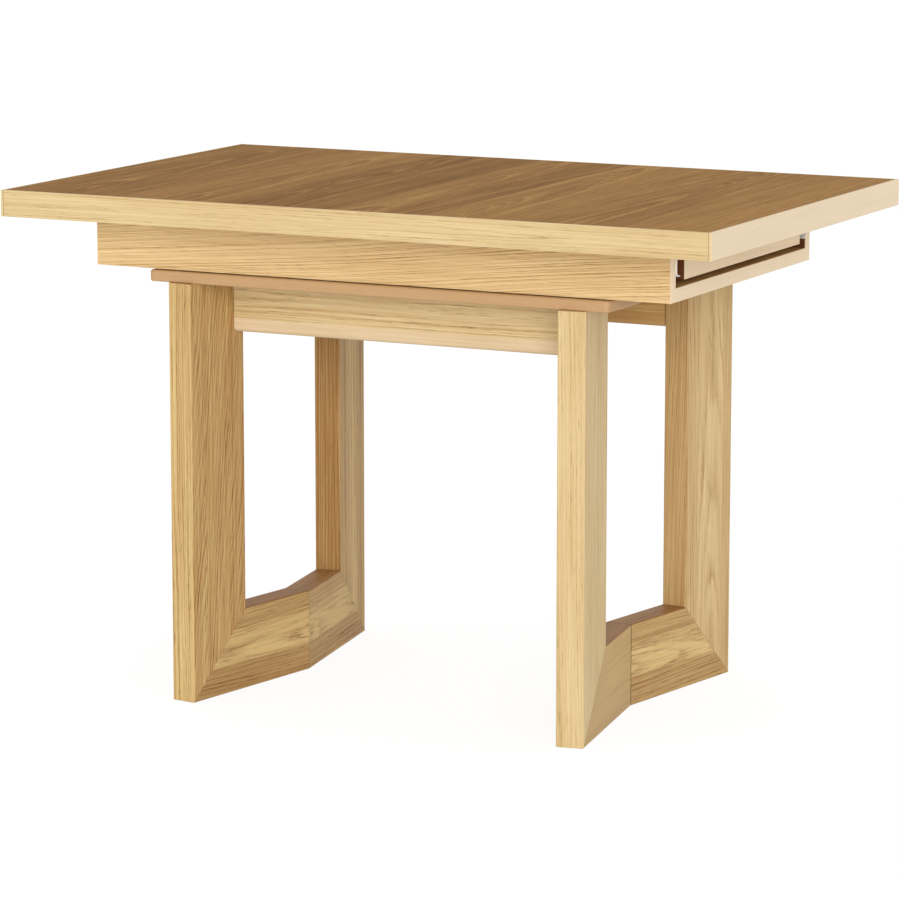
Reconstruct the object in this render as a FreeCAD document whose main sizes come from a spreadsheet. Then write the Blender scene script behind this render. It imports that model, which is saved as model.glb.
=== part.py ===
import FreeCAD, Part
import os
import Sketcher

# Draw leaf table: a banded top on a shallow tray, carried by two bent sled frames. At each end of
# the tray a draw unit with a folded leaf runs out under the fixed top on two ball bearing slides.
# Millimetres. +X is the long way of the top, +Z is up, and the origin is on the floor under the
# middle of the top. The right end (+X) is drawn; the left end is the same end turned half round.

doc = FreeCAD.newDocument("draw_leaf_table")

SIZES = [
    ("table_height", 742, "floor to the top's upper face"),
    ("top_length", 1100, "top, along X"),
    ("top_width", 700, "top, along Y"),
    ("top_thickness", 38, "top, over its veneer"),
    ("veneer_thickness", 1, "planked sheet on the top's upper face"),
    ("band_thickness", 4, "lipping round the top's edges"),
    ("top_ease", 1, "round on the lipping's outer edges"),
    ("tray_length", 900, "tray under the top, along X"),
    ("tray_width", 504, "tray, along Y"),
    ("tray_depth", 75, "tray, from the top down to its underside"),
    ("apron_thickness", 16, "front and back walls of the tray"),
    ("floor_thickness", 19, "floor of the tray"),
    ("end_band", 1, "edge band on the tray's open ends"),
    ("bar_thickness", 16, "crossbar in the middle of the tray"),
    ("plate_length", 722, "plate between the tray and the legs, along X"),
    ("plate_width", 516, "plate, along Y"),
    ("plate_thickness", 18, "plate, along Z"),
    ("plate_corner", 8, "round on the plate's upright corners"),
    ("plate_round", 3, "round on the plate's other edges"),
    ("groove_height", 1.5, "shadow groove between the plate's rim and the tray"),
    ("groove_depth", 20, "shadow groove, in from the plate's edges"),
    ("board_thickness", 40, "boards of the leg frames"),
    ("board_width", 120, "face width of the posts and foot rails"),
    ("half_frame_length", 270, "length of each half frame, from its bend to its end"),
    ("board_ease", 1.5, "round on the frames' long edges"),
    ("bend_angle", 9.7, "how far each half frame turns from Y, in degrees"),
    ("apex_inset", 243, "table's middle to the inner face of a frame's bend"),
    ("rail_face", 170, "table's middle to the outer face of a long rail"),
    ("rail_thickness", 22, "long rails, along Y"),
    ("rail_depth", 79, "long rails with their lipping, along Z"),
    ("lipping_depth", 20, "solid lipping under a long rail"),
    ("lipping_round", 8, "round on the lipping's lower edges"),
    ("slide_height", 27, "outer slide member, along Z"),
    ("slide_depth", 12.7, "slide, from the apron to the strip on the draw unit"),
    ("slide_steel_thickness", 1.2, "steel of the slide members"),
    ("slide_lip", 11.9, "outer member's lips, from the apron"),
    ("slide_rise", 15.5, "tray floor to the slide's lower edge"),
    ("slide_gap", 2, "slide to the tray's crossbar"),
    ("slide_proud", 1.5, "outer member's front end beyond the end of the tray"),
    ("middle_setback", 33.5, "middle member's front end behind the outer member's"),
    ("web_gap", 0.8, "between the flat webs of the members"),
    ("ball_size", 2.6, "bearing balls between the members"),
    ("cage_length", 180, "ball cages, along X"),
    ("cage_back", 120, "slide's rear end to the rear end of its cages"),
    ("cage_width", 2.4, "ball cages, along Y"),
    ("cage_inset", 0.5, "ball cages behind the edge of the lips"),
    ("run_gap", 0.3, "running gap at the ball cages"),
    ("outer_bend", 5, "slanted corner of the outer member"),
    ("middle_bend", 3.5, "slanted corner of the middle member"),
    ("inner_bend", 2, "slanted corner of the inner member"),
    ("front_thickness", 18, "draw front, along X"),
    ("front_height", 46, "draw front, along Z"),
    ("front_clear", 1, "draw front to the underside of the top"),
    ("front_proud", 1.5, "draw front's face beyond the end of the tray"),
    ("front_ease", 1, "round on the draw front's edges"),
    ("side_thickness", 16, "sides and crossbars of the draw unit"),
    ("side_clear", 2, "sides of the draw unit to the underside of the top"),
    ("strip_thickness", 13, "strips between the slides and the draw unit, along Y"),
    ("strip_setback", 20, "draw front's back to the strips and the inner slide members"),
    ("base_thickness", 4, "bottom sheet of the draw unit"),
    ("unit_gap", 6, "tray's crossbar to the rear of the draw unit"),
    ("leaf_length", 310, "leaf, along X"),
    ("leaf_half", 350, "each half of the folded leaf, along Y"),
    ("leaf_thickness", 19, "each half of the folded leaf, along Z"),
    ("leaf_gap", 1, "leaf to the draw front and to the bar behind it"),
    ("hinge_length", 50, "leaf hinge, along X"),
    ("hinge_height", 15, "each wing of a leaf hinge"),
    ("hinge_thickness", 1.5, "wings of a leaf hinge"),
    ("hinge_barrel", 2.5, "radius of a hinge barrel"),
    ("hinge_inset", 40, "end of the leaf to a hinge"),
    ("tongue_thickness", 6, "loose beech tongues in the glued joints"),
    ("tongue_length", 60, "tongues along a joint"),
    ("tongue_depth", 30, "tongues across a joint"),
    ("tongue_reach", 350, "table's middle to the outer tongues between aprons and top"),
    ("rail_tongue_length", 36, "tongues at the rails' ends, upright"),
    ("unit_tongue_length", 28, "tongues in the draw front, upright"),
    ("unit_tongue_depth", 20, "tongues in the draw front, along X"),
    ("spline_width", 40, "splines in the leg frames' joints, across the joint"),
    ("spline_length", 90, "splines in the leg frames' joints, along the joint"),
    ("bolt_round", 4, "shank radius of the bolts from the plate into the posts"),
    ("bolt_head", 8, "head radius of those bolts"),
    ("bolt_sink", 5, "head depth of those bolts"),
    ("bolt_length", 70, "bolts from the plate down into the posts"),
    ("screw_round", 2.5, "shank radius of the tray screws"),
    ("screw_head", 5, "head radius of the tray screws"),
    ("screw_sink", 3, "head depth of the tray screws"),
    ("screw_length", 32, "screws from the plate up into the tray"),
    ("screw_x", 200, "table's middle to the tray screws, along X"),
    ("screw_y", 100, "table's middle to the tray screws, along Y"),
]

sheet = doc.addObject("Spreadsheet::Sheet", "sizes")
for row, (alias, number, note) in enumerate(SIZES, start=1):
    sheet.set(f"A{row}", note)
    sheet.set(f"B{row}", str(number))
    sheet.setAlias(f"B{row}", alias)
doc.recompute()

# Places that several pieces share, worked out from the sheet.
TOP_UNDER = "(sizes.table_height - sizes.top_thickness)"
TRAY_LOW = f"({TOP_UNDER} - sizes.tray_depth)"
FLOOR_TOP = f"({TRAY_LOW} + sizes.floor_thickness)"
PLATE_LOW = f"({TRAY_LOW} - sizes.plate_thickness)"
RAIL_LOW = f"({PLATE_LOW} - sizes.rail_depth)"
LIPPING_TOP = f"({RAIL_LOW} + sizes.lipping_depth)"
CORE_LENGTH = "(sizes.top_length - 2 * sizes.band_thickness)"
CORE_WIDTH = "(sizes.top_width - 2 * sizes.band_thickness)"
WALL_LENGTH = "(sizes.tray_length - 2 * sizes.end_band)"
WALL_HIGH = "(sizes.tray_depth - sizes.floor_thickness)"
APRON_IN = "(sizes.tray_width / 2 - sizes.apron_thickness)"
APRON_MIDDLE = "(sizes.tray_width / 2 - sizes.apron_thickness / 2)"
RAIL_IN = "(sizes.rail_face - sizes.rail_thickness)"
RAIL_MIDDLE = "(sizes.rail_face - sizes.rail_thickness / 2)"
LEAN = "tan(sizes.bend_angle * 1 deg)"

SLIDE_BACK = "(sizes.bar_thickness / 2 + sizes.slide_gap)"
SLIDE_END = "(sizes.tray_length / 2 + sizes.slide_proud)"
SLIDE_AXIS = f"({FLOOR_TOP} + sizes.slide_rise + sizes.slide_height / 2)"
MIDDLE_HALF = "(sizes.slide_height / 2 - sizes.slide_steel_thickness - sizes.ball_size)"
INNER_HALF = f"({MIDDLE_HALF} - sizes.slide_steel_thickness - sizes.ball_size)"
MIDDLE_WEB = "(sizes.slide_steel_thickness + sizes.web_gap)"
CAGE_BACK = f"({SLIDE_BACK} + sizes.cage_back)"

SLIDE_IN = f"({APRON_IN} - sizes.slide_depth)"
UNIT_HALF = f"({SLIDE_IN} - sizes.strip_thickness)"
UNIT_LOW = f"({TOP_UNDER} - sizes.front_clear - sizes.front_height)"
UNIT_BACK = "(sizes.bar_thickness / 2 + sizes.unit_gap)"
FRONT_IN = "(sizes.tray_length / 2 + sizes.front_proud - sizes.front_thickness)"
STRIP_END = f"({FRONT_IN} - sizes.strip_setback)"
SIDE_LOW = f"({UNIT_LOW} + sizes.base_thickness)"
SIDE_HIGH = f"({TOP_UNDER} - sizes.side_clear - {SIDE_LOW})"
SIDE_LENGTH = f"({FRONT_IN} - {UNIT_BACK})"
LEAF_BACK = f"({FRONT_IN} - sizes.leaf_gap - sizes.leaf_length)"
FOLD = f"({SIDE_LOW} + sizes.leaf_thickness)"


SLACK = 0.001  # tells directions and places of edges apart


def amount(expression):
    """The number that an expression gives with the sheet as it is."""
    value = sheet.evalExpression(expression)
    return float(getattr(value, "Value", value))


def shift(x="0", y="0", z="0"):
    """Placement expression that only moves."""
    return f"create(<<placement>>; create(<<vector>>; {x}; {y}; {z}); create(<<rotation>>; 0; 0; 0))"


def turn(axis, angle):
    """Placement expression that turns about X, Y or Z through the origin, in degrees."""
    vector = {"x": "1; 0; 0", "y": "0; 1; 0", "z": "0; 0; 1"}[axis]
    spin = f"create(<<rotation>>; create(<<vector>>; {vector}); {angle})"
    return f"create(<<placement>>; create(<<vector>>; 0; 0; 0); {spin})"


def place(piece, *steps):
    """Puts a piece where the chain of placement expressions says."""
    if steps:
        piece.setExpression("Placement", " * ".join(steps))
    return piece


HALF_TURN = turn("z", "180")
ENDS = {"right": [], "left": [HALF_TURN]}
FACES = (("front", "-"), ("back", ""))


def faces(end):
    """Front and back with the sign of Y each has before its end is turned."""
    return FACES if end == "right" else (("back", "-"), ("front", ""))


def half_steps(end, sign):
    """The steps that carry a half frame, drawn along X from its bend, to its end of the table."""
    return [*ENDS[end], shift("sizes.apex_inset"), turn("z", f"{sign}(90 - sizes.bend_angle)")]


def board_side(sign):
    """The sign of the side that a half frame's boards lie on, next to the line from the bend."""
    return "" if sign else "-"


def box(label, size, *steps):
    """A rectangular board or sheet from its low corner."""
    piece = doc.addObject("Part::Box", label)
    for side, expression in zip(("Length", "Width", "Height"), size):
        piece.setExpression(side, expression)
    return place(piece, *steps)


def rod(label, radius, length, *steps):
    """A round rod whose middle is at the origin of its placement, along Z."""
    piece = doc.addObject("Part::Cylinder", label)
    piece.setExpression("Radius", radius)
    piece.setExpression("Height", length)
    return place(piece, *steps, shift(z=f"-{length} / 2"))


def screw(label, radius, head, sink, length, *steps):
    """A countersunk screw that points down -Z, with the flat of its head at the origin."""
    shank = doc.addObject("Part::Cylinder", f"{label}_shank")
    shank.setExpression("Radius", radius)
    shank.setExpression("Height", f"{length} - {sink}")
    place(shank, shift(z=f"-{length}"))
    cone = doc.addObject("Part::Cone", f"{label}_head")
    cone.setExpression("Radius1", radius)
    cone.setExpression("Radius2", head)
    cone.setExpression("Height", sink)
    place(cone, shift(z=f"-{sink}"))
    whole = doc.addObject("Part::Fuse", label)
    whole.Base = shank
    whole.Tool = cone
    return place(whole, *steps)


def group(label, pieces):
    """Separate solids that share one node."""
    whole = doc.addObject("Part::Compound", label)
    whole.Links = pieces
    return whole


def cut(label, blank, tools):
    """A blank with the room for other pieces taken out of it."""
    tool = tools[0] if len(tools) == 1 else group(f"{label}_tools", tools)
    whole = doc.addObject("Part::Cut", label)
    whole.Base = blank
    whole.Tool = tool
    return whole


def outline(piece, name, plane, corners):
    """A closed sketch on one of the body's own planes, each corner tied to the sheet."""
    sketch = piece.newObject("Sketcher::SketchObject", name)
    support = [part for part in piece.Origin.OriginFeatures if part.Role == plane][0]
    sketch.AttachmentSupport = [(support, "")]
    sketch.MapMode = "FlatFace"
    points = [FreeCAD.Vector(amount(across), amount(up), 0) for across, up in corners]
    count = len(points)
    for index, point in enumerate(points):
        sketch.addGeometry(Part.LineSegment(point, points[(index + 1) % count]))
    for index in range(count):
        sketch.addConstraint(Sketcher.Constraint("Coincident", index, 2, (index + 1) % count, 1))
    for index, pair in enumerate(corners):
        for kind, expression, value in zip(("DistanceX", "DistanceY"), pair, points[index]):
            rule = sketch.addConstraint(Sketcher.Constraint(kind, -1, 1, index, 1, value))
            sketch.setExpression(f"Constraints[{rule}]", expression)
    return sketch


def pad(piece, name, plane, corners, length, back=False):
    """Adds a padded outline to a body."""
    block = piece.newObject("PartDesign::Pad", name)
    block.Profile = outline(piece, f"{name}_outline", plane, corners)
    block.setExpression("Length", length)
    block.Reversed = back
    piece.Tip = block
    doc.recompute()
    return piece


def padded(label, plane, corners, length, back=False):
    """A body made of one padded outline."""
    piece = doc.addObject("PartDesign::Body", label)
    return pad(piece, f"{label}_pad", plane, corners, length, back)


def pocket(piece, name, plane, corners):
    """Cuts an outline right through the body, both ways from its plane."""
    before = piece.Shape.Volume
    cutter = piece.newObject("PartDesign::Pocket", name)
    cutter.Profile = outline(piece, f"{name}_outline", plane, corners)
    cutter.Type = "ThroughAll"
    cutter.Midplane = True
    piece.Tip = cutter
    doc.recompute()
    if piece.Shape.Volume >= before:
        raise RuntimeError(f"{name} takes nothing away")
    return piece


def ease(piece, name, radius, wanted):
    """Rounds the straight edges that the test picks by direction and middle point."""
    base = piece.Tip
    names = []
    for index, edge in enumerate(base.Shape.Edges, start=1):
        ends = [vertex.Point for vertex in edge.Vertexes]
        if len(ends) == 2 and isinstance(edge.Curve, Part.Line):
            way = (ends[1] - ends[0]).normalize()
            if wanted(way, edge.CenterOfMass):
                names.append(f"Edge{index}")
    if not names:
        raise RuntimeError(f"{name} finds no edge")
    fillet = piece.newObject("PartDesign::Fillet", name)
    fillet.Base = (base, names)
    fillet.setExpression("Radius", radius)
    piece.Tip = fillet
    doc.recompute()
    return piece


def rectangle(x0, y0, x1, y1):
    return [(x0, y0), (x1, y0), (x1, y1), (x0, y1)]


def along(axis):
    """A test that picks every edge that runs along one axis."""
    return lambda way, middle: abs(getattr(way, axis)) > 1 - SLACK


NODES = {}


def keep(node, piece):
    """Names a finished sub-part. Its blank, where it has one, keeps a label of its own."""
    NODES[node] = piece
    piece.Label = node


# Fasteners and tongues come first, because the boards take their holes and slots from them.

def tongue(label, size, *steps):
    """A flat loose tongue whose middle is at the origin of its placement."""
    middle = shift(*(f"-({side}) / 2" for side in size))
    return box(label, size, *steps, middle)


def top_tongues():
    pieces = []
    size = ("sizes.tongue_length", "sizes.tongue_thickness", "sizes.tongue_depth")
    for face, sign in FACES:
        for spot, x in (("left", "-sizes.tongue_reach"), ("middle", "0"), ("right", "sizes.tongue_reach")):
            centre = shift(x, f"{sign}{APRON_MIDDLE}", TOP_UNDER)
            pieces.append(tongue(f"top_tongue_{face}_{spot}", size, centre))
    return group("top_tongue_group", pieces)


def leg_bolts():
    bolts = []
    kind = ("sizes.bolt_round", "sizes.bolt_head", "sizes.bolt_sink", "sizes.bolt_length")
    for end in ENDS:
        for half, sign in faces(end):
            x = "sizes.half_frame_length - sizes.board_width / 2"
            head = shift(x, f"{board_side(sign)}sizes.board_thickness / 2", TRAY_LOW)
            bolts.append(screw(f"leg_bolt_{end}_{half}", *kind, *half_steps(end, sign), head))
    return group("leg_bolt_group", bolts)


def tray_screws():
    screws = []
    kind = ("sizes.screw_round", "sizes.screw_head", "sizes.screw_sink", "sizes.screw_length")
    for end, first in ENDS.items():
        for face, sign in faces(end):
            head = shift("sizes.screw_x", f"{sign}sizes.screw_y", PLATE_LOW)
            screws.append(screw(f"tray_screw_{end}_{face}", *kind, *first, head, turn("x", "180")))
    return group("tray_screw_group", screws)


def rail_tongues():
    pieces = []
    size = ("sizes.tongue_depth", "sizes.tongue_thickness", "sizes.rail_tongue_length")
    x = f"(sizes.apex_inset + {RAIL_MIDDLE} * {LEAN})"
    for end, first in ENDS.items():
        for face, sign in faces(end):
            centre = shift(x, f"{sign}{RAIL_MIDDLE}", f"({PLATE_LOW} + {LIPPING_TOP}) / 2")
            pieces.append(tongue(f"rail_tongue_{end}_{face}", size, *first, centre))
    return group("rail_tongue_group", pieces)


def frame_splines():
    splines = []
    mitre = ("sizes.spline_length", "sizes.tongue_thickness", "sizes.spline_width")
    upright = ("sizes.tongue_thickness", "sizes.spline_width", "sizes.spline_length")
    bend = "(sizes.apex_inset + sizes.board_thickness / cos(sizes.bend_angle * 1 deg) / 2)"
    for end, first in ENDS.items():
        for half, sign in faces(end):
            corner = shift(
                "sizes.half_frame_length - sizes.board_width / 2",
                f"{board_side(sign)}sizes.board_thickness / 2",
                "sizes.board_width / 2",
            )
            spot = [*half_steps(end, sign), corner, turn("y", "45")]
            splines.append(tongue(f"mitre_spline_{end}_{half}", mitre, *spot))
        centre = shift(bend, "0", "sizes.board_width / 2")
        splines.append(tongue(f"bend_spline_{end}", upright, *first, centre))
    return group("frame_spline_group", splines)


def unit_tongues(end, first):
    pieces = []
    size = ("sizes.unit_tongue_depth", "sizes.tongue_thickness", "sizes.unit_tongue_length")
    for face, sign in faces(end):
        y = f"{sign}({UNIT_HALF} - sizes.side_thickness / 2)"
        centre = shift(FRONT_IN, y, f"({SIDE_LOW} + {SIDE_HIGH} / 2)")
        pieces.append(tongue(f"unit_tongue_{end}_{face}", size, *first, centre))
    return group(f"unit_tongue_group_{end}", pieces)


# The top: a core with a planked veneer on it and a lipping round all four edges.

def top(tongues):
    low_corner = shift(f"-{CORE_LENGTH} / 2", f"-{CORE_WIDTH} / 2", TOP_UNDER)
    core = box(
        "top_core_blank",
        (CORE_LENGTH, CORE_WIDTH, "sizes.top_thickness - sizes.veneer_thickness"),
        low_corner,
    )
    keep("top_core", cut("top_core_slotted", core, [tongues]))
    veneer_low = shift(
        f"-{CORE_LENGTH} / 2",
        f"-{CORE_WIDTH} / 2",
        "sizes.table_height - sizes.veneer_thickness",
    )
    keep("top_veneer", box("veneer_sheet", (CORE_LENGTH, CORE_WIDTH, "sizes.veneer_thickness"), veneer_low))

    section = rectangle("0", "0", "sizes.band_thickness", "sizes.top_thickness")
    for face, first in (("front", []), ("back", [HALF_TURN])):
        band = padded(f"long_band_{face}", "YZ_Plane", section, CORE_LENGTH)
        ease(band, f"long_band_{face}_ease", "sizes.top_ease", lambda way, middle: (
            abs(way.x) > 1 - SLACK and middle.y < SLACK
        ))
        place(band, *first, shift(f"-{CORE_LENGTH} / 2", "-sizes.top_width / 2", TOP_UNDER))
        keep(f"top_band_{face}", band)
    plan = rectangle("0", "0", "sizes.band_thickness", "sizes.top_width")
    outer = amount("sizes.band_thickness")
    for end, first in ENDS.items():
        band = padded(f"end_band_{end}", "XY_Plane", plan, "sizes.top_thickness")
        ease(band, f"end_band_{end}_ease", "sizes.top_ease", lambda way, middle: (
            middle.x > outer - SLACK
        ))
        inner = "sizes.top_length / 2 - sizes.band_thickness"
        place(band, *first, shift(inner, "-sizes.top_width / 2", TOP_UNDER))
        keep(f"top_band_{end}", band)


# The tray: two aprons mitred to a floor, a crossbar in the middle and thin bands on its open ends.

def tray(tongues, screws):
    wall = [
        ("0", "0"),
        ("sizes.apron_thickness", "sizes.floor_thickness"),
        ("sizes.apron_thickness", "sizes.tray_depth"),
        ("0", "sizes.tray_depth"),
    ]
    for face, first in (("front", []), ("back", [HALF_TURN])):
        blank = padded(f"apron_{face}_blank", "YZ_Plane", wall, WALL_LENGTH)
        place(blank, *first, shift(f"-{WALL_LENGTH} / 2", "-sizes.tray_width / 2", TRAY_LOW))
        keep(f"apron_{face}", cut(f"apron_{face}_slotted", blank, [tongues]))

    section = [
        ("0", "0"),
        ("sizes.tray_width", "0"),
        ("sizes.tray_width - sizes.apron_thickness", "sizes.floor_thickness"),
        ("sizes.apron_thickness", "sizes.floor_thickness"),
    ]
    blank = padded("tray_floor_blank", "YZ_Plane", section, WALL_LENGTH)
    place(blank, shift(f"-{WALL_LENGTH} / 2", "-sizes.tray_width / 2", TRAY_LOW))
    keep("tray_floor", cut("tray_floor_drilled", blank, [screws]))

    corner = shift("-sizes.bar_thickness / 2", f"-{APRON_IN}", FLOOR_TOP)
    size = ("sizes.bar_thickness", f"2 * {APRON_IN}", WALL_HIGH)
    keep("tray_crossbar", box("crossbar_board", size, corner))

    floor_bands = []
    wall_bands = []
    for end, first in ENDS.items():
        corner = shift(f"{WALL_LENGTH} / 2", "-sizes.tray_width / 2", TRAY_LOW)
        size = ("sizes.end_band", "sizes.tray_width", "sizes.floor_thickness")
        floor_bands.append(box(f"floor_band_{end}", size, *first, corner))
        for face, sign in faces(end):
            y = "-sizes.tray_width / 2" if sign else APRON_IN
            corner = shift(f"{WALL_LENGTH} / 2", y, FLOOR_TOP)
            size = ("sizes.end_band", "sizes.apron_thickness", WALL_HIGH)
            wall_bands.append(box(f"wall_band_{end}_{face}", size, *first, corner))
    keep("floor_end_bands", group("floor_bands", floor_bands))
    keep("apron_end_bands", group("wall_bands", wall_bands))


# The plate that the legs are screwed to. Its rounded rim stays clear of the tray by a shadow groove.

def mounting_plate(bolts, screws):
    plan = rectangle("0", "0", "sizes.plate_length", "sizes.plate_width")
    plate = padded("plate_blank", "XY_Plane", plan, "sizes.plate_thickness - sizes.groove_height")
    ease(plate, "plate_corners", "sizes.plate_corner", along("z"))
    ease(plate, "plate_edges", "sizes.plate_round", lambda way, middle: abs(way.z) < SLACK)
    seat = rectangle(
        "sizes.groove_depth",
        "sizes.groove_depth",
        "sizes.plate_length - sizes.groove_depth",
        "sizes.plate_width - sizes.groove_depth",
    )
    pad(plate, "plate_seat", "XY_Plane", seat, "sizes.plate_thickness")
    place(plate, shift("-sizes.plate_length / 2", "-sizes.plate_width / 2", PLATE_LOW))
    keep("mounting_plate", cut("plate_drilled", plate, [bolts, screws]))


# The leg frames: two half frames meet at a bend, each a post mitred to a foot rail.

def half_frame(end, half, sign, tools):
    steps = half_steps(end, sign)
    side = board_side(sign)
    inner = "sizes.half_frame_length - sizes.board_width"
    high = PLATE_LOW

    post = padded(
        f"post_{end}_{half}_blank",
        "XZ_Plane",
        rectangle(inner, "0", "sizes.half_frame_length", high),
        "sizes.board_thickness",
        bool(sign),
    )
    ease(post, f"post_{end}_{half}_ease", "sizes.board_ease", along("z"))
    below = [(inner, "0"), ("sizes.half_frame_length", "0"), (inner, "sizes.board_width")]
    pocket(post, f"post_{end}_{half}_mitre", "XZ_Plane", below)
    place(post, *steps)
    keep(f"post_{end}_{half}", cut(f"post_{end}_{half}_drilled", post, tools))

    foot = padded(
        f"foot_{end}_{half}_blank",
        "XZ_Plane",
        rectangle("0", "0", "sizes.half_frame_length", "sizes.board_width"),
        "sizes.board_thickness",
        bool(sign),
    )
    ease(foot, f"foot_{end}_{half}_ease", "sizes.board_ease", along("x"))
    above = [
        ("sizes.half_frame_length", "0"),
        ("sizes.half_frame_length", "sizes.board_width"),
        (inner, "sizes.board_width"),
    ]
    pocket(foot, f"foot_{end}_{half}_mitre", "XZ_Plane", above)
    wedge = [
        ("0", "0"),
        (f"sizes.board_thickness * {LEAN}", f"{side}sizes.board_thickness"),
        ("0", f"{side}sizes.board_thickness"),
    ]
    pocket(foot, f"foot_{end}_{half}_bend", "XY_Plane", wedge)
    place(foot, *steps)
    keep(f"foot_{end}_{half}", cut(f"foot_{end}_{half}_drilled", foot, tools[-1:]))


# The long rails between the frames, each with a rounded solid lipping below.

def rails(tongues):
    outer_half = f"(sizes.apex_inset + sizes.rail_face * {LEAN})"
    inner_half = f"(sizes.apex_inset + {RAIL_IN} * {LEAN})"
    plan = [
        (f"-{outer_half}", "-sizes.rail_face"),
        (outer_half, "-sizes.rail_face"),
        (inner_half, f"-{RAIL_IN}"),
        (f"-{inner_half}", f"-{RAIL_IN}"),
    ]
    for face, first in (("front", []), ("back", [HALF_TURN])):
        board = padded(f"rail_{face}_blank", "XY_Plane", plan, "sizes.rail_depth - sizes.lipping_depth")
        place(board, *first, shift(z=LIPPING_TOP))
        keep(f"rail_{face}", cut(f"rail_{face}_slotted", board, [tongues]))
        lipping = padded(f"lipping_{face}", "XY_Plane", plan, "sizes.lipping_depth")
        ease(lipping, f"lipping_{face}_round", "sizes.lipping_round", lambda way, middle: (
            abs(way.x) > 1 - SLACK and middle.z < SLACK
        ))
        place(lipping, *first, shift(z=RAIL_LOW))
        keep(f"rail_lipping_{face}", lipping)


# The slides: three rolled members inside one another, with ball cages between them.

def channel(half_high, lip, corner):
    """A rolled channel section whose web stands on the sketch's vertical axis."""
    metal = "sizes.slide_steel_thickness"
    step = f"{metal} * tan(22.5 deg)"
    upper = [
        (lip, half_high),
        (corner, half_high),
        ("0", f"{half_high} - {corner}"),
    ]
    inner = [
        (metal, f"{half_high} - {corner} - {step}"),
        (f"{corner} + {step}", f"{half_high} - {metal}"),
        (lip, f"{half_high} - {metal}"),
    ]
    lower = [(across, f"-({up})") for across, up in reversed(upper)]
    lower_inner = [(across, f"-({up})") for across, up in reversed(inner)]
    return upper + lower + lower_inner + inner


def member_pair(end, name, section, low, high, web, towards_unit):
    """The same member on the front and the back apron."""
    pair = []
    for face, sign in faces(end):
        piece = padded(f"{name}_{face}", "YZ_Plane", section, f"{high} - {low}")
        if bool(sign) == towards_unit:
            spot = [shift(low, f"{sign}{web}", SLIDE_AXIS)]
        else:
            spot = [shift(high, f"{sign}{web}", SLIDE_AXIS), HALF_TURN]
        pair.append(place(piece, *ENDS[end], *spot))
    return pair


def slides(end, first):
    inner_lip = "(sizes.slide_depth - 2 * sizes.slide_steel_thickness - 2 * sizes.web_gap)"
    members = {
        "outer": (
            channel("(sizes.slide_height / 2)", "sizes.slide_lip", "sizes.outer_bend"),
            SLIDE_BACK, SLIDE_END, APRON_IN, True,
        ),
        "middle": (
            channel(MIDDLE_HALF, f"(sizes.slide_lip - {MIDDLE_WEB})", "sizes.middle_bend"),
            SLIDE_BACK, f"({SLIDE_END} - sizes.middle_setback)", f"({APRON_IN} - {MIDDLE_WEB})", True,
        ),
        "inner": (
            channel(INNER_HALF, inner_lip, "sizes.inner_bend"),
            UNIT_BACK, STRIP_END, SLIDE_IN, False,
        ),
    }
    for role, (section, low, high, web, towards_unit) in members.items():
        name = f"slide_{role}_{end}"
        keep(name, group(f"{name}_pair", member_pair(end, name, section, low, high, web, towards_unit)))

    strip_high = "sizes.ball_size - 2 * sizes.run_gap"
    strip_out = f"({APRON_IN} - sizes.slide_lip + sizes.cage_inset)"
    for role, member_half in (("outer", MIDDLE_HALF), ("inner", INNER_HALF)):
        strips = []
        for face, sign in faces(end):
            y = f"-({strip_out} + sizes.cage_width)" if sign else strip_out
            rises = {
                "upper": f"({SLIDE_AXIS} + {member_half} + sizes.run_gap)",
                "lower": f"({SLIDE_AXIS} - {member_half} - sizes.ball_size + sizes.run_gap)",
            }
            for level, z in rises.items():
                size = ("sizes.cage_length", "sizes.cage_width", strip_high)
                corner = shift(CAGE_BACK, y, z)
                strips.append(box(f"cage_{role}_{end}_{face}_{level}", size, *first, corner))
        keep(f"ball_cages_{role}_{end}", group(f"cage_group_{role}_{end}", strips))


# The draw unit: a front, two sides, two crossbars and a thin bottom that carries the folded leaf.
# A strip on each side fills the room between the side and its slide.

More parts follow.
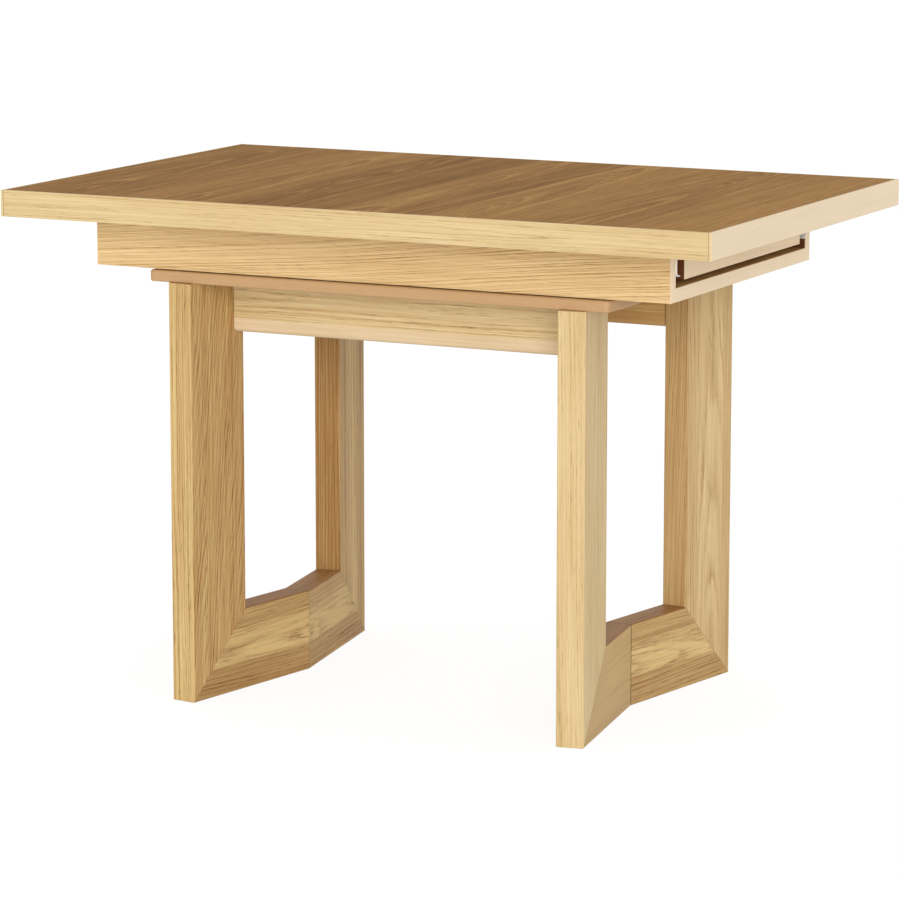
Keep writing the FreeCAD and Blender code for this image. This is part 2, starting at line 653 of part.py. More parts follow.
def draw_unit(end, first, tongues):
    across = f"2 * {UNIT_HALF}"
    face = rectangle("0", "0", across, "sizes.front_height")
    front = padded(f"draw_front_{end}_blank", "YZ_Plane", face, "sizes.front_thickness")
    outer = amount("sizes.front_thickness")
    ease(front, f"draw_front_{end}_ease", "sizes.front_ease", lambda way, middle: (
        middle.x > outer - SLACK
    ))
    place(front, *first, shift(FRONT_IN, f"-{UNIT_HALF}", UNIT_LOW))
    keep(f"draw_front_{end}", cut(f"draw_front_{end}_slotted", front, [tongues]))

    sides = []
    for face, sign in faces(end):
        y = f"-{UNIT_HALF}" if sign else f"{UNIT_HALF} - sizes.side_thickness"
        size = (SIDE_LENGTH, "sizes.side_thickness", SIDE_HIGH)
        sides.append(box(f"draw_side_{end}_{face}", size, *first, shift(UNIT_BACK, y, SIDE_LOW)))
    pair = group(f"draw_sides_{end}_pair", sides)
    keep(f"draw_sides_{end}", cut(f"draw_sides_{end}_slotted", pair, [tongues]))

    strips = []
    for face, sign in faces(end):
        corner = shift(
            UNIT_BACK,
            f"-{SLIDE_IN}" if sign else UNIT_HALF,
            f"({SLIDE_AXIS} - sizes.slide_height / 2)",
        )
        size = (f"({STRIP_END} - {UNIT_BACK})", "sizes.strip_thickness", "sizes.slide_height")
        strips.append(box(f"draw_strip_{end}_{face}", size, *first, corner))
    keep(f"draw_strips_{end}", group(f"draw_strips_{end}_pair", strips))

    bars = []
    inside = f"({UNIT_HALF} - sizes.side_thickness)"
    places = {"rear": UNIT_BACK, "stop": f"{LEAF_BACK} - sizes.leaf_gap - sizes.side_thickness"}
    for spot, x in places.items():
        size = ("sizes.side_thickness", f"2 * {inside}", SIDE_HIGH)
        bars.append(box(f"draw_bar_{end}_{spot}", size, *first, shift(x, f"-{inside}", SIDE_LOW)))
    keep(f"draw_crossbars_{end}", group(f"draw_bars_{end}", bars))

    size = (SIDE_LENGTH, across, "sizes.base_thickness")
    corner = shift(UNIT_BACK, f"-{UNIT_HALF}", UNIT_LOW)
    keep(f"draw_bottom_{end}", box(f"draw_base_{end}", size, *first, corner))


# The leaf lies folded in the draw unit, show faces together, with two hinges on its fold.

def leaf(end, first):
    wings = []
    barrels = []
    edge = "sizes.leaf_half / 2"
    places = {
        "rear": f"{LEAF_BACK} + sizes.hinge_inset",
        "fore": f"{LEAF_BACK} + sizes.leaf_length - sizes.hinge_inset - sizes.hinge_length",
    }
    for spot, x in places.items():
        size = ("sizes.hinge_length", "sizes.hinge_thickness", "sizes.hinge_height")
        for half, z in (("lower", f"{FOLD} - sizes.hinge_height"), ("upper", FOLD)):
            corner = shift(x, f"{edge} - sizes.hinge_thickness", z)
            wings.append(box(f"hinge_wing_{end}_{spot}_{half}", size, *first, corner))
        centre = shift(f"{x} + sizes.hinge_length / 2", f"{edge} + sizes.hinge_barrel", FOLD)
        name = f"hinge_barrel_{end}_{spot}"
        steps = [*first, centre, turn("y", "90")]
        barrels.append(rod(name, "sizes.hinge_barrel", "sizes.hinge_length", *steps))
    keep(f"leaf_hinges_{end}", group(f"hinge_group_{end}", wings + barrels))

    recess = group(f"hinge_recess_{end}", wings)
    for half, z in (("lower", SIDE_LOW), ("upper", FOLD)):
        size = ("sizes.leaf_length", "sizes.leaf_half", "sizes.leaf_thickness")
        blank = box(f"leaf_{half}_{end}_blank", size, *first, shift(LEAF_BACK, f"-{edge}", z))
        keep(f"leaf_{half}_{end}", cut(f"leaf_{half}_{end}_recessed", blank, [recess]))


def main():
    tongues = top_tongues()
    bolts = leg_bolts()
    screws = tray_screws()
    end_tongues = rail_tongues()
    splines = frame_splines()
    front_tongues = {end: unit_tongues(end, first) for end, first in ENDS.items()}

    top(tongues)
    tray(tongues, screws)
    mounting_plate(bolts, screws)
    for end in ENDS:
        for half, sign in faces(end):
            half_frame(end, half, sign, [bolts, end_tongues, splines])
    rails(end_tongues)
    for end, first in ENDS.items():
        slides(end, first)
        draw_unit(end, first, front_tongues[end])
        leaf(end, first)
        keep(f"draw_tongues_{end}", front_tongues[end])
    keep("top_tongues", tongues)
    keep("leg_bolts", bolts)
    keep("tray_screws", screws)
    keep("rail_tongues", end_tongues)
    keep("frame_splines", splines)
    doc.recompute()

    for piece in doc.Objects:
        if "Invalid" in piece.State or "Error" in piece.State:
            raise RuntimeError(f"{piece.Label} did not build: {piece.State}")
    for node, piece in NODES.items():
        if piece.Shape.isNull() or not piece.Shape.isValid() or not piece.Shape.Solids:
            raise RuntimeError(f"{node} has no sound shape")

    os.makedirs("parts", exist_ok=True)
    for node, piece in NODES.items():
        piece.Shape.exportStep(os.path.join("parts", f"{node}.step"))
        print(node, len(piece.Shape.Solids), round(piece.Shape.Volume, 1))


main()
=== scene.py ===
import math

import bpy
from bpy.props import FloatProperty, FloatVectorProperty, PointerProperty
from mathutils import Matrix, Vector


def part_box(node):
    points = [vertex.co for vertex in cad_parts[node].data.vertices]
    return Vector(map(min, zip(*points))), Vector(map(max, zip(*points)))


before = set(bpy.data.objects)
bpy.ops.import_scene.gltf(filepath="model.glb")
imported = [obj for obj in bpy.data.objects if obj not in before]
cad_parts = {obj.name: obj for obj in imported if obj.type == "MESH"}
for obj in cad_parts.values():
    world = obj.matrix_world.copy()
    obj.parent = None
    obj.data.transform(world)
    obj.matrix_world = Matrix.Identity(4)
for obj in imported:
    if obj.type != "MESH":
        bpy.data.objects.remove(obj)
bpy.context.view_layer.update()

bl_info = {
    "name": "Draw Leaf Table Finishes",
    "version": (1, 0, 0),
    "blender": (4, 5, 0),
    "location": "View3D > Sidebar > Table",
    "description": "Oak, beech, steel and brass finishes for a draw leaf table, with its stage",
    "category": "Material",
}

MM = 0.001

# The table's axes, and its ends and faces with their signs along X and Y.
X, Y, Z = Vector((1, 0, 0)), Vector((0, 1, 0)), Vector((0, 0, 1))
ENDS = {"right": 1, "left": -1}
FACES = {"front": -1, "back": 1}

# A leg frame's bend in radians, how far it lies from the table's middle, and how long a half frame
# is from there to its end, both in metres. The joints' glue lines are drawn from them.
BEND = math.radians(9.7)
APEX = 0.243
HALF_FRAME = 0.270

# The stage: the camera's place in metres, turn in radians and film in mm, the way and the spread of
# the wide light, and the floor's side in metres, its paint, its glow and how much of it is seen.
CAMERA_PLACE = (2.6696, -5.3760, 1.4317)
CAMERA_TURN = (1.39292, 0, 0.46206)
FILM = 36
KEY_WAY = Vector((-0.456, 0.868, -0.197))
KEY_SPREAD = math.radians(30)
FLOOR_SIDE = 40
FLOOR_PAINT = (0.9, 0.9, 0.9, 1)
FLOOR_GLOW = 1.06
GLOW_SEEN = 0.85

# Settings that many nodes share. A colour mix takes its share at input 0, its colours at 6 and 7.
COLOUR_MIX = {"out": 2, "data_type": "RGBA"}
DOT = {"out": "Value", "operation": "DOT_PRODUCT"}

# How a board's log was sawn. ring: mm from year to year. depth: mm from the face to the pith.
# taper: how fast the log narrows. wave: mm that the rings wander. The rest are shares from 0 to 1:
# contrast of years, of streaks some millimetres wide, of single fibres and of pores. In brushed
# and stained oak the early wood is paler than the rest, so that its share is below 0.
SAWN = {
    "flat": {"ring": 5.2, "depth": 42, "taper": 0.030, "wave": 11,
             "years": 0.40, "streak": 0.13, "fibre": 0.14, "pores": 0.80},
    "slant": {"ring": 2.9, "depth": 60, "taper": 0.075, "wave": 8,
              "years": 0.62, "streak": 0.04, "fibre": 0.10, "pores": 0.55},
    "figured": {"ring": 5.4, "depth": 60, "taper": 0.135, "wave": 20,
                "years": 0.58, "streak": 0.24, "fibre": 0.12, "pores": 0.75},
    "rift": {"ring": 3.6, "depth": 9, "taper": 0.004, "wave": 4,
             "years": 0.56, "streak": 0.16, "fibre": 0.15, "pores": 0.78},
    "fine": {"ring": 2.4, "depth": 9, "taper": 0.003, "wave": 3,
             "years": 0.28, "streak": 0.08, "fibre": 0.12, "pores": 0.42},
    "calm": {"ring": 4.4, "depth": 90, "taper": 0.024, "wave": 10,
             "years": 0.34, "streak": 0.11, "fibre": 0.14, "pores": 0.50},
    "plain": {"ring": 5.0, "depth": 60, "taper": 0.010, "wave": 4,
              "years": 0.05, "streak": 0.05, "fibre": 0.10, "pores": 0.06},
    "brushed": {"ring": 4.8, "depth": 42, "taper": 0.034, "wave": 12,
                "years": -0.50, "streak": 0.08, "fibre": 0.15, "pores": 0.50},
}

# How dark a year is from its first early wood to its last late wood.
YEAR = (
    (0.0, 0.50), (0.06, 1.0), (0.20, 0.60), (0.45, 0.18), (0.75, 0.0), (0.95, 0.08), (1.0, 0.50),
)

# Noises in oak: a cell's millimetres along the grain and across it, what is added to the board's
# seed, detail and roughness. Real fibres and pores are a fifth of a millimetre wide: these are as
# coarse as shows.
OAK_NOISES = {
    "wander": ((620, 75), 0, 1.5, 0.5),
    "ripple": ((130, 11), 1, 2.0, 0.5),
    "fibres": ((150, 1.5), 2, 2.0, 0.6),
    "clouds": ((260, 34), 3, 2.0, 0.5),
    "dashes": ((26, 1.3), 4, 1.0, 0.5),
    "patches": ((110, 14), 5, 1.0, 0.5),
    "streaks": ((420, 5.0), 6, 2.0, 0.5),
}

# Oak's years: how much a ripple moves them, in rings, and how often and by how many rings they
# grow fat or thin. A pith lies at most so many widths to the side, and a strip's grain is moved
# along by up to so many mm.
RIPPLE = 0.8
FAT_OFTEN, FAT_RINGS = 0.37, 3.0
PITH_REACH = 3
GRAIN_SHIFT = 1700.0

# Map Range's numbers: 1 and 2 are the part of its input that counts, 3 and 4 what that becomes.
NOISE_SPAN = {1: 0.3, 2: 0.7}
FAINT_TO_STRONG = {**NOISE_SPAN, 3: 0.45, 4: 1.35}
PORE_DASHES = {1: 0.56, 2: 0.63, 3: 0.0}
PORES_IN_YEAR = {1: 0.0, 2: 0.8, 3: 0.2, 4: 1.0}
PORES_IN_PATCH = {1: 0.35, 2: 0.65, 3: 0.35, 4: 1.0}

# Contrast of oak's clouds, and how far late and early wood lie from a year's middle.
CLOUDS = 0.10
LATE, EARLY = 0.3, -0.7

# What share of the dark colour's light a pore and a glue line keep, between what shares of its own
# light the print on a facing and on painted shade lies, and a pore's depth against a fibre's height.
PORE_LIGHT, GLUE_LIGHT = 0.45, 0.25
FACING_AND_SHADE_LIGHT = (0.75, 1.25)
PORE_DEPTH = -1.5

# Marks on beech, its foil and the dark brown painted shade, each over the one before: a cell's
# millimetres along the grain and across it, what is added to the seed, detail, the part of the noise
# that shows, how strong the mark is, and what share of the light it keeps. Flecks are as large as real
# ones, 1 to 5 mm.
BEECH_MARKS = {
    "clouds": ((180, 50), 0, 2.0, (0.3, 0.7), 0.22, 0.86),
    "fibres": ((120, 2.5), 2, 2.0, (0.45, 0.75), 0.25, 0.78),
    "flecks": ((5.0, 0.9), 1, 1.0, (0.62, 0.72), 0.35, 0.6),
}

# Specular level of sanded and foiled beech.
BEECH_SHINE = 0.32

# Smears on metal: a cell's millimetres, the part of the noise that shows, and the light they keep.
SMEARS = ((40, 22), (0.4, 0.75), 0.7)

# How far roughness goes down and up from its middle.
OAK_SATIN = (-0.06, 0.10)
METAL_HAZE = (-0.08, 0.12)

# Roughness of raw wood, and what an oiled, brushed board has instead of lacquer's.
RAW = 0.62
OILED = {"rough": 0.7, "shine": 0.06}

# Glue lines: how dark each is, from 0 to 1, and half its width in mm for a normal of length 1. A
# mitre's normal is 1.4 long, so its line comes out that much finer.
GLUE = {
    "veneer": (0.5, 0.6),
    "lipping": (0.7, 0.8),
    "mitre": (0.35, 0.6),
    "bend_right": (0.95, 1.1),
    "bend_left": (0.3, 0.7),
    # Where a rail meets a post, its line is a glue line deepened as painted shade from the corner.
    "rail": (0.6, 1.0),
}

# A facing and a painted shade start this far inside a board's edge, in metres.
FACE_INSET = 0.3 * MM

# Strips of the top, of a leaf and of the two kinds of foot: see oak() for what the numbers mean.
TOP_PLANKS = (
    (0.0, 0.42, 0.13, -0.42),
    (0.157, 0.53, 0.71, -0.24),
    (0.32, 0.35, 0.37, -0.14),
    (0.478, 0.54, 0.92, 0.02),
    (0.551, 0.38, 0.05, 0.16),
    (0.612, 0.60, 0.55, 0.15),
    (0.763, 0.52, 0.28, 0.32),
    (0.894, 0.62, 0.83, 0.50),
    (0.952, 0.69, 0.47, 0.40),
)
LEAF_PLANKS = ((0.0, 0.46, 0.3, -0.3), (0.36, 0.58, 0.7, 0.02), (0.68, 0.50, 0.1, 0.3))
STAVES = (
    (0.0, 0.37, 0.2, 1.6),
    (0.34, 0.79, 0.6, -0.02),
    (0.76, 0.41, 0.9, -1.4),
    # The top face, whose low tone is painted shade.
    (0.985, 0.04, 0.1, 0.3),
)
# One plain board, whose top face's low tone is painted shade.
WHOLE = ((0.0, 0.57, 0.2, 0.9), (0.985, 0.0, 0.1, 0.3))

# Every leg frame's board comes from a plank of its own. paleness: from warm (0) to light (1).
# light: what share of the dark colour's light the post keeps. post and foot: how each was sawn, and
# its strips. A post's first and last strips are its narrow faces. Besides each board's own tone,
# paleness, light and the first narrow faces' low tones hold painted shade: the left frame and the
# back posts, which sit in more shade, are darker, and so is each post's first narrow face, which
# faces inwards.
LEG_BOARDS = {
    ("left", "front"): {
        "paleness": 0.02,
        "light": 0.94,
        "post": ("figured", (
            (0.0, 0.30, 0.3, -0.5),
            (0.013, 0.36, 0.1, -1.1),
            (0.30, 0.50, 0.4, -1.2),
            (0.74, 0.42, 0.2, -1.3),
            (0.987, 0.66, 0.3, 0.5, 0.04),
        )),
        "foot": ("flat", STAVES),
    },
    ("left", "back"): {
        "paleness": 0.12,
        "light": 0.78,
        "post": ("rift", (
            (0.0, 0.13, 0.3, -0.5),
            (0.013, 0.46, 0.1, -0.9),
            (0.30, 0.56, 0.5, 0.04),
            (0.68, 0.44, 0.8, 0.9),
            (0.987, 0.60, 0.3, 0.5),
        )),
        "foot": ("flat", STAVES),
    },
    ("right", "front"): {
        "paleness": 1.06,
        "light": 1.0,
        "post": ("calm", (
            (0.0, 0.30, 0.3, -0.5),
            (0.013, 0.47, 0.1, -0.9),
            (0.987, 0.42, 0.3, 0.5),
        )),
        "foot": ("plain", WHOLE),
    },
    ("right", "back"): {
        "paleness": 0.50,
        "light": 0.92,
        "post": ("calm", (
            (0.0, 0.24, 0.3, -0.5),
            (0.013, 0.46, 0.1, -0.9),
            (0.24, 0.60, 0.5, 0.06),
            (0.80, 0.40, 0.8, 0.9),
            (0.987, 0.50, 0.3, 0.5),
        )),
        "foot": ("flat", STAVES),
    },
}

# A foot keeps this share of its post's paleness, and of the dark colour's light, which also deepens the
# painted shade on its top face.
FOOT_PALENESS, FOOT_LIGHT = 0.1, 0.78

# The back rail is a little warmer than warm oak. The end band's dark keeps this share of its light,
# and its cut ends are this far from light oak's pale to its dark.
BACK_RAIL_PALENESS = -0.1
BAND_LIGHT = 0.8
BAND_END = 0.4


def linear(hex_colour):
    """sRGB hex value to linear red, green and blue."""
    parts = [int(hex_colour[i:i + 2], 16) / 255 for i in (1, 3, 5)]
    return [c / 12.92 if c <= 0.04045 else ((c + 0.055) / 1.055) ** 2.4 for c in parts]


def colour(name, description, hex_colour):
    """A colour property that starts from an sRGB hex value."""
    return FloatVectorProperty(
        name=name,
        description=description,
        subtype="COLOR",
        size=3,
        min=0,
        max=1,
        default=linear(hex_colour),
    )


class TableSettings(bpy.types.PropertyGroup):
    """Colours and light that a user would change."""

    brown_pale: colour("Brown oak, pale", "Earlywood of the stained oak top", "#b68a50")
    brown_dark: colour("Brown oak, dark", "Latewood of the stained oak top", "#664117")
    light_pale: colour("Light oak, pale", "Latewood of lippings and rails", "#e3cea0")
    light_dark: colour("Light oak, dark", "Earlywood of lippings and rails", "#b99862")
    warm_pale: colour("Warm oak, pale", "Latewood of the leg frames", "#d3b77d")
    warm_dark: colour("Warm oak, dark", "Earlywood of the leg frames", "#a4723c")
    golden_pale: colour("Golden oak, pale", "Latewood of the aprons", "#efd3a0")
    golden_dark: colour("Golden oak, dark", "Earlywood of the aprons", "#b1874f")
    beech: colour("Beech", "Plate under the tray, and tongues", "#bd976b")
    band: colour("Edge band", "Thin bands on board ends", "#ebd6b6")
    ply: colour("Birch ply", "Crossbars and bottoms of the draw units", "#d9bd8f")
    # Painted shade: a dark brown put on faces inside the tray and the draw units, where shade falls.
    painted_shade: colour("Painted shade brown", "Hidden faces of the tray and the draw units", "#6a3c1e")
    enamel: colour("White enamel", "Slide members on the aprons", "#eeeeea")
    zinc: colour("Zinc", "Bolts and screws", "#b9bbbd")
    dark_slide_steel: colour("Dark slide steel", "Middle and inner slide members", "#3d3733")
    brass: colour("Brass", "Leaf hinges", "#c9a85c")
    nylon: colour("Nylon", "Ball cages", "#e8e6df")
    floor: colour("Floor", "Floor and backdrop", "#ffffff")
    key_level: FloatProperty(
        name="Key light", description="Strength of the wide light in front, in W/m2", default=1.78
    )
    sky_level: FloatProperty(
        name="Sky level", description="Strength of the even white surroundings", default=0.82
    )
    lens: FloatProperty(
        name="Lens", description="Focal length", default=167.18, unit="CAMERA", min=1.0
    )


def settings():
    """The scene's values for this add-on."""
    return bpy.context.scene.draw_leaf_table


def dim(part, share):
    """A linear colour that keeps a share of its light."""
    return [share * c for c in part]


def rgba(part, share=1.0):
    """A linear colour that keeps a share of its light, with full alpha."""
    return (*dim(part, share), 1)


def towards(first, second, share):
    """The colour that lies a share of the way from one colour to another."""
    return [a + share * (b - a) for a, b in zip(first, second)]


def between(first, second, share):
    """The pale and dark colours that lie between those of two woods."""
    return [towards(one, two, share) for one, two in zip(first, second)]


def one_board(tone=0.5, move=0.0, pith=0.0):
    """The strips of a board that isn't glued up: one, as wide as the board."""
    return ((0.0, tone, move, pith),)


def add(tree, kind, inputs=(), out=0, stops=(), **fields):
    """Adds a node, links or sets its inputs, and gives one of its outputs.

    Inputs go by name or number. stops are a colour ramp's places with their levels: one number,
    or three with the alpha.
    """
    made = tree.nodes.new(kind)
    for name, value in fields.items():
        setattr(made, name, value)
    for socket, value in dict(inputs).items():
        if isinstance(value, bpy.types.NodeSocket):
            tree.links.new(value, made.inputs[socket])
        else:
            made.inputs[socket].default_value = value
    if stops:
        ramp = made.color_ramp
        while len(ramp.elements) > len(stops):
            ramp.elements.remove(ramp.elements[-1])
        while len(ramp.elements) < len(stops):
            ramp.elements.new(1)
        for element, (spot, *level) in zip(ramp.elements, stops):
            element.position = spot
            element.color = level if len(level) == 4 else level * 3 + [1]
    return made.outputs[out] if made.outputs else None


def new_material(name):
    """An empty material. Gives it with its tree."""
    made = bpy.data.materials.new(name)
    made.use_nodes = True
    made.node_tree.nodes.clear()
    return made, made.node_tree


def close_material(made, name, shader_inputs):
    """Ends a material in one surface shader and gives it to a CAD node."""
    tree = made.node_tree
    shader = add(tree, "ShaderNodeBsdfPrincipled", shader_inputs)
    add(tree, "ShaderNodeOutputMaterial", {"Surface": shader})
    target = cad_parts[name]
    target.data.materials.clear()
    target.data.materials.append(made)


def board_axes(tree, name, along, across):
    """Millimetres from the board's middle: along the grain, across the face, through the board.

    Gives them with the board's width across the face.
    """
    here = add(tree, "ShaderNodeTexCoord", out="Object")
    sizes, spans = [], []
    for axis in (along, across, along.cross(across)):
        reaches = [axis.dot(vertex.co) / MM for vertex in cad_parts[name].data.vertices]
        low, high = min(reaches), max(reaches)
        reach = add(tree, "ShaderNodeVectorMath", {0: here, 1: tuple(axis / MM)}, **DOT)
        middle = {0: reach, 1: (low + high) / 2}
        sizes.append(add(tree, "ShaderNodeMath", middle, operation="SUBTRACT"))
        spans.append(high - low)
    return sizes, spans[1]


def grainy(tree, sizes, cell, seed, detail=2.0, rough=0.5):
    """Noise in cells that are cell[0] mm long and cell[1] mm wide."""
    spots = {}
    for index, (size, span) in enumerate(zip(sizes, (cell[0], cell[1], cell[1]))):
        scaled = {0: size, 1: 1 / span, 2: seed}
        spots[index] = add(tree, "ShaderNodeMath", scaled, operation="MULTIPLY_ADD")
    spot = add(tree, "ShaderNodeCombineXYZ", spots)
    look = {"Vector": spot, "Detail": detail, "Roughness": rough, "Scale": 1.0}
    return add(tree, "ShaderNodeTexNoise", look)


def glued_strips(tree, sizes, width, strips):
    """Lays strips side by side across a board.

    Gives how pale the strip is, the board's sizes with its grain moved along, millimetres to its
    pith, and its share of the taper.
    """
    share = add(tree, "ShaderNodeMapRange", {0: sizes[1], 1: -width / 2, 2: width / 2})
    stops = [
        (start, tone, move, side / (2 * PITH_REACH) + 0.5, *(steep or [1]))
        for start, tone, move, side, *steep in strips
    ]
    strip = add(tree, "ShaderNodeValToRGB", {0: share}, stops=stops)
    strip.node.color_ramp.interpolation = "CONSTANT"
    tone, move, side = add(tree, "ShaderNodeSeparateColor", {0: strip}).node.outputs
    shift = {0: move, 1: GRAIN_SHIFT, 2: sizes[0]}
    moved = add(tree, "ShaderNodeMath", shift, operation="MULTIPLY_ADD")
    reach = PITH_REACH * width
    pith = add(tree, "ShaderNodeMapRange", {0: side, 3: -reach, 4: reach})
    return tone, (moved, *sizes[1:]), pith, strip.node.outputs["Alpha"]


def early_wood(tree, sizes, pith, steep, noises, cut):
    """How much of a spot is early wood: years are cones round the pith that wander a little."""
    aside = add(tree, "ShaderNodeMath", {0: sizes[1], 1: pith}, operation="SUBTRACT")
    down = add(tree, "ShaderNodeMath", {0: sizes[2], 1: cut["depth"]}, operation="ADD")
    spoke = add(tree, "ShaderNodeCombineXYZ", {0: aside, 1: down})
    bent = add(tree, "ShaderNodeVectorMath", {0: spoke}, out="Value", operation="LENGTH")
    taper = add(tree, "ShaderNodeMath", {0: steep, 1: cut["taper"]}, operation="MULTIPLY")
    shifts = (
        (sizes[0], taper),
        (noises["wander"], 2 * cut["wave"]),
        (noises["ripple"], RIPPLE * cut["ring"]),
    )
    for shift, reach in shifts:
        bent = add(tree, "ShaderNodeMath", {0: shift, 1: reach, 2: bent}, operation="MULTIPLY_ADD")
    turns = add(tree, "ShaderNodeMath", {0: bent, 1: 1 / cut["ring"]}, operation="MULTIPLY")
    often = {"W": turns, "Scale": FAT_OFTEN, "Detail": 1.0}
    fat = add(tree, "ShaderNodeTexNoise", often, noise_dimensions="1D")
    turns = add(tree, "ShaderNodeMath", {0: fat, 1: FAT_RINGS, 2: turns}, operation="MULTIPLY_ADD")
    phase = add(tree, "ShaderNodeMath", {0: turns}, operation="FRACT")
    return add(tree, "ShaderNodeValToRGB", {0: phase}, stops=YEAR)


def open_pores(tree, early, noises, most):
    """How deep a spot is in an open pore: dashes that crowd in the early wood and in patches."""
    pores = add(tree, "ShaderNodeMapRange", {0: noises["dashes"], **PORE_DASHES, 4: most})
    for place, span in ((early, PORES_IN_YEAR), (noises["patches"], PORES_IN_PATCH)):
        share = add(tree, "ShaderNodeMapRange", {0: place, **span})
        pores = add(tree, "ShaderNodeMath", {0: pores, 1: share}, operation="MULTIPLY")
    return pores


def oak(
    label, name, along, across, pale, dark, seed, sawn="flat",
    strips=one_board(), seams=(), faced_and_shaded=(), rough=0.5, shine=0.18,
):
    """Oak boards: years of growth round a pith, streaks, fibres, and dark pores in the early wood.

    seed is the board's own number, so that no two look alike. sawn is a kind of SAWN.
    strips are glued side by side across the face: each has where it starts as a share of the
    width, how pale it is, how far its grain is moved along, its pith's place in widths, and, if
    that isn't all of it, what share of its cut's taper it has.
    seams are planes with a thin glue line: a normal, its dot product with the plane's spots in
    metres, how dark the line is and half its width in mm. faced sides lie beyond a plane: its
    normal, that same product and the colour there, which is a real facing on the top's end bands
    and dark brown painted shade on hidden faces of the tray and the draw units.
    rough and shine are the middle of the roughness and the specular level, lacquer's by default.
    """
    cut = SAWN[sawn]
    made, tree = new_material(label)
    sizes, width = board_axes(tree, name, along, across)
    tone, sizes, pith, steep = glued_strips(tree, sizes, width, strips)
    noises = {
        kind: grainy(tree, sizes, cell, seed + step, detail, noise_rough)
        for kind, (cell, step, detail, noise_rough) in OAK_NOISES.items()
    }
    early = early_wood(tree, sizes, pith, steep, noises, cut)

    reaches = {"clouds": CLOUDS, "streaks": cut["streak"], "fibres": cut["fibre"]}
    for kind, reach in reaches.items():
        span = {0: noises[kind], **NOISE_SPAN, 3: -reach, 4: reach}
        level = add(tree, "ShaderNodeMapRange", span)
        tone = add(tree, "ShaderNodeMath", {0: tone, 1: level}, operation="ADD")
    span = {0: early, 3: LATE * cut["years"], 4: EARLY * cut["years"]}
    level = add(tree, "ShaderNodeMapRange", span)
    faint = add(tree, "ShaderNodeMapRange", {0: noises["patches"], **FAINT_TO_STRONG})
    mixed = {0: level, 1: faint, 2: tone}
    tone = add(tree, "ShaderNodeMath", mixed, operation="MULTIPLY_ADD", use_clamp=True)
    wood = add(tree, "ShaderNodeMix", {0: tone, 6: rgba(dark), 7: rgba(pale)}, **COLOUR_MIX)

    pores = open_pores(tree, early, noises, cut["pores"])
    wood = add(tree, "ShaderNodeMix", {0: pores, 6: wood, 7: rgba(dark, PORE_LIGHT)}, **COLOUR_MIX)

    here = add(tree, "ShaderNodeTexCoord", out="Object")
    for normal, spot, darkness, half in seams:
        reach = add(tree, "ShaderNodeVectorMath", {0: here, 1: tuple(normal)}, **DOT)
        near = {0: reach, 1: spot, 2: half * MM}
        line = add(tree, "ShaderNodeMath", near, operation="COMPARE")
        line = add(tree, "ShaderNodeMath", {0: line, 1: darkness}, operation="MULTIPLY")
        glued = {0: line, 6: wood, 7: rgba(dark, GLUE_LIGHT)}
        wood = add(tree, "ShaderNodeMix", glued, **COLOUR_MIX)
    # Faced sides: real facings, and dark brown painted shade on hidden faces of the tray and the draw
    # units.
    for normal, spot, facing_and_shade in faced_and_shaded:
        reach = add(tree, "ShaderNodeVectorMath", {0: here, 1: tuple(normal)}, **DOT)
        beyond = add(tree, "ShaderNodeMath", {0: reach, 1: spot}, operation="GREATER_THAN")
        low, high = (rgba(facing_and_shade, share) for share in FACING_AND_SHADE_LIGHT)
        printed = add(tree, "ShaderNodeMix", {0: noises["fibres"], 6: low, 7: high}, **COLOUR_MIX)
        wood = add(tree, "ShaderNodeMix", {0: beyond, 6: wood, 7: printed}, **COLOUR_MIX)

    sunk = {0: pores, 1: PORE_DEPTH, 2: noises["fibres"]}
    height = add(tree, "ShaderNodeMath", sunk, operation="MULTIPLY_ADD")
    relief = {"Height": height, "Strength": 0.3, "Distance": 0.15 * MM}
    low, high = (rough + change for change in OAK_SATIN)
    close_material(made, name, {
        "Base Color": wood,
        "Roughness": add(tree, "ShaderNodeMapRange", {0: noises["fibres"], 3: low, 4: high}),
        "Specular IOR Level": shine,
        "Normal": add(tree, "ShaderNodeBump", relief),
    })


def beech(label, name, along, across, base, seed, rough=0.5):
    """Beech, birch, beech foil and dark brown painted shade: an even ground with small short flecks."""
    made, tree = new_material(label)
    sizes, _ = board_axes(tree, name, along, across)
    ground, noises = rgba(base), {}
    for kind, (cell, step, detail, (start, full), strength, light) in BEECH_MARKS.items():
        noises[kind] = grainy(tree, sizes, cell, seed + step, detail)
        span = {0: noises[kind], 1: start, 2: full, 3: 0.0, 4: strength}
        mark = add(tree, "ShaderNodeMapRange", span)
        marked = {0: mark, 6: ground, 7: rgba(base, light)}
        ground = add(tree, "ShaderNodeMix", marked, **COLOUR_MIX)
    relief = {"Height": noises["fibres"], "Strength": 0.2, "Distance": 0.08 * MM}
    close_material(made, name, {
        "Base Color": ground,
        "Roughness": rough,
        "Specular IOR Level": BEECH_SHINE,
        "Normal": add(tree, "ShaderNodeBump", relief),
    })


